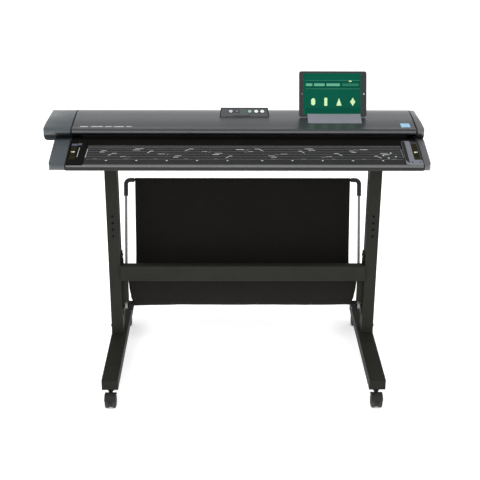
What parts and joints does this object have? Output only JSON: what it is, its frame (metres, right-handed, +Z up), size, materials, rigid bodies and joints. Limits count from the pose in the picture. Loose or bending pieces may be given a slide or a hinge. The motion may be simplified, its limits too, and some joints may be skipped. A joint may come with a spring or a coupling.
{
  "type": "wide-format sheet-fed scanner on a stand",
  "caption": "Wide-format sheet-fed scanner with a hinged lid and tilted control keys, on a castered two-leg stand with a cloth catch basket and a tablet in a lid-mounted holder.",
  "frame": {"origin": "middle of the footprint at floor level", "axes": "+X to the user's right along the machine, +Y away from the user towards the paper exit, +Z up; the paper goes in on the -Y side"},
  "size_m": [1.271, 0.6608, 1.0832],
  "materials": {
    "casing": "fine satin",
    "end_casing": "fine satin",
    "black": "satin",
    "table": "ribbed, satin",
    "frame": "powder coat",
    "steel": "brushed",
    "trim": "satin",
    "cloth": "plain weave",
    "rubber": "matt",
    "wheel": "matt",
    "glass": "clear",
    "white": "matt",
    "module": "satin",
    "button": "gloss",
    "screen": "gloss",
    "holder": "gloss",
    "board": "satin"
  },
  "bodies": {
    "base": {"left_leg": "frame", "right_leg": "frame", "left_foot": "frame", "right_foot": "frame", "left_bracket": "frame", "right_bracket": "frame", "left_top_arm": "frame", "right_top_arm": "frame", "crossbar": "frame", "basket_front_rod": "frame", "basket_front_cloth": "cloth", "feed_table": "table", "front_trim_strip": "trim", "left_corner_module": "module", "right_corner_module": "module", "guide_plate": "black", "base_chassis": "frame", "scan_glass": "glass", "sensor_bar": "black", "drive_motor": "steel", "drive_belt": "rubber", "control_board": "board", "connector_panel": "black", "left_end_housing": "end_casing", "right_end_housing": "end_casing"},
    "lid": {"lid_shell": "casing", "lid_chassis": "black", "background_plate": "white", "control_panel": "casing", "tablet_holder": "holder"},
    "basket_frame": {"basket_left_rod": "steel", "basket_right_rod": "steel", "basket_left_elbow": "black", "basket_right_elbow": "black", "basket_top_tube": "black", "basket_rear_cloth": "cloth"},
    "left_knob": {"left_basket_knob": "black"},
    "left_latch": {"left_lid_latch": "black"},
    "right_knob": {"right_basket_knob": "black"},
    "right_latch": {"right_lid_latch": "black"},
    "button_1": {"panel_button_1": "button"},
    "button_2": {"panel_button_2": "button"},
    "button_3": {"panel_button_3": "button"},
    "button_4": {"panel_button_4": "button"},
    "button_5": {"panel_button_5": "button"},
    "front_drive": {"front_drive_roller": "rubber"},
    "rear_drive": {"rear_drive_roller": "rubber"},
    "pulley": {"motor_pulley": "steel"},
    "front_pressure": {"front_pressure_roller": "rubber"},
    "rear_pressure": {"rear_pressure_roller": "rubber"},
    "tablet": {"tablet": "screen"},
    "front_left_swivel": {"front_left_caster_housing": "black"},
    "front_left_wheels": {"front_left_caster_wheels": "wheel"},
    "front_right_swivel": {"front_right_caster_housing": "black"},
    "front_right_wheels": {"front_right_caster_wheels": "wheel"},
    "rear_left_swivel": {"rear_left_caster_housing": "black"},
    "rear_left_wheels": {"rear_left_caster_wheels": "wheel"},
    "rear_right_swivel": {"rear_right_caster_housing": "black"},
    "rear_right_wheels": {"rear_right_caster_wheels": "wheel"}
  },
  "joints": [
    {"name": "lid_hinge", "type": "hinge", "parent": "base", "child": "lid", "pos_m": [0.0335, 0.1545, 0.911], "axis": [-1, 0, 0], "range_deg": [0, 60]},
    {"name": "basket_tilt", "type": "hinge", "parent": "base", "child": "basket_frame", "pos_m": [0.0335, 0.0635, 0.207], "axis": [-1, 0, 0], "range_deg": [-8, 35]},
    {"name": "left_knob_turn", "type": "hinge", "parent": "base", "child": "left_knob", "pos_m": [-0.3805, 0.0635, 0.207], "axis": [1, 0, 0], "continuous": true},
    {"name": "left_latch_press", "type": "slide", "parent": "base", "child": "left_latch", "axis": [0, 0.2367, -0.9716], "range_m": [0, 0.002], "stiffness_N_per_m": 600, "springref_m": -0.001},
    {"name": "right_knob_turn", "type": "hinge", "parent": "base", "child": "right_knob", "pos_m": [0.4475, 0.0635, 0.207], "axis": [1, 0, 0], "continuous": true},
    {"name": "right_latch_press", "type": "slide", "parent": "base", "child": "right_latch", "axis": [0, 0.2367, -0.9716], "range_m": [0, 0.002], "stiffness_N_per_m": 600, "springref_m": -0.001},
    {"name": "button_1_press", "type": "slide", "parent": "lid", "child": "button_1", "axis": [0, 0.4695, -0.8829], "range_m": [0, 0.001], "stiffness_N_per_m": 500, "springref_m": -0.001},
    {"name": "button_2_press", "type": "slide", "parent": "lid", "child": "button_2", "axis": [0, 0.4695, -0.8829], "range_m": [0, 0.001], "stiffness_N_per_m": 500, "springref_m": -0.001},
    {"name": "button_3_press", "type": "slide", "parent": "lid", "child": "button_3", "axis": [0, 0.4695, -0.8829], "range_m": [0, 0.001], "stiffness_N_per_m": 500, "springref_m": -0.001},
    {"name": "button_4_press", "type": "slide", "parent": "lid", "child": "button_4", "axis": [0, 0.4695, -0.8829], "range_m": [0, 0.001], "stiffness_N_per_m": 500, "springref_m": -0.001},
    {"name": "button_5_press", "type": "slide", "parent": "lid", "child": "button_5", "axis": [0, 0.4695, -0.8829], "range_m": [0, 0.001], "stiffness_N_per_m": 500, "springref_m": -0.001},
    {"name": "front_drive_spin", "type": "hinge", "parent": "base", "child": "front_drive", "pos_m": [0.0335, -0.0405, 0.8798], "axis": [1, 0, 0], "continuous": true},
    {"name": "rear_drive_spin", "type": "hinge", "parent": "base", "child": "rear_drive", "pos_m": [0.0335, 0.0835, 0.8798], "axis": [1, 0, 0], "continuous": true},
    {"name": "motor_spin", "type": "hinge", "parent": "base", "child": "pulley", "pos_m": [-0.5565, 0.0195, 0.827], "axis": [1, 0, 0], "continuous": true},
    {"name": "front_pressure_spin", "type": "hinge", "parent": "lid", "child": "front_pressure", "pos_m": [0.0335, -0.0405, 0.8981], "axis": [1, 0, 0], "continuous": true},
    {"name": "rear_pressure_spin", "type": "hinge", "parent": "lid", "child": "rear_pressure", "pos_m": [0.0335, 0.0835, 0.8981], "axis": [1, 0, 0], "continuous": true},
    {"name": "tablet_lift", "type": "slide", "parent": "lid", "child": "tablet", "axis": [0, 0.3746, 0.9272], "range_m": [0, 0.12]},
    {"name": "front_left_swivel_turn", "type": "hinge", "parent": "base", "child": "front_left_swivel", "pos_m": [-0.4245, -0.2845, 0.06], "axis": [0, 0, 1], "continuous": true},
    {"name": "front_left_wheels_roll", "type": "hinge", "parent": "front_left_swivel", "child": "front_left_wheels", "pos_m": [-0.4245, -0.3045, 0.025], "axis": [1, 0, 0], "continuous": true},
    {"name": "front_right_swivel_turn", "type": "hinge", "parent": "base", "child": "front_right_swivel", "pos_m": [0.4915, -0.2845, 0.06], "axis": [0, 0, 1], "continuous": true},
    {"name": "front_right_wheels_roll", "type": "hinge", "parent": "front_right_swivel", "child": "front_right_wheels", "pos_m": [0.4915, -0.3045, 0.025], "axis": [1, 0, 0], "continuous": true},
    {"name": "rear_left_swivel_turn", "type": "hinge", "parent": "base", "child": "rear_left_swivel", "pos_m": [-0.4245, 0.2845, 0.06], "axis": [0, 0, 1], "continuous": true},
    {"name": "rear_left_wheels_roll", "type": "hinge", "parent": "rear_left_swivel", "child": "rear_left_wheels", "pos_m": [-0.4245, 0.3045, 0.025], "axis": [1, 0, 0], "continuous": true},
    {"name": "rear_right_swivel_turn", "type": "hinge", "parent": "base", "child": "rear_right_swivel", "pos_m": [0.4915, 0.2845, 0.06], "axis": [0, 0, 1], "continuous": true},
    {"name": "rear_right_wheels_roll", "type": "hinge", "parent": "rear_right_swivel", "child": "rear_right_wheels", "pos_m": [0.4915, 0.3045, 0.025], "axis": [1, 0, 0], "continuous": true}
  ],
  "couplings": [
    {"joint": "rear_drive_spin", "follows": "front_drive_spin", "ratio": 1},
    {"joint": "motor_spin", "follows": "front_drive_spin", "ratio": 1.375}
  ]
}
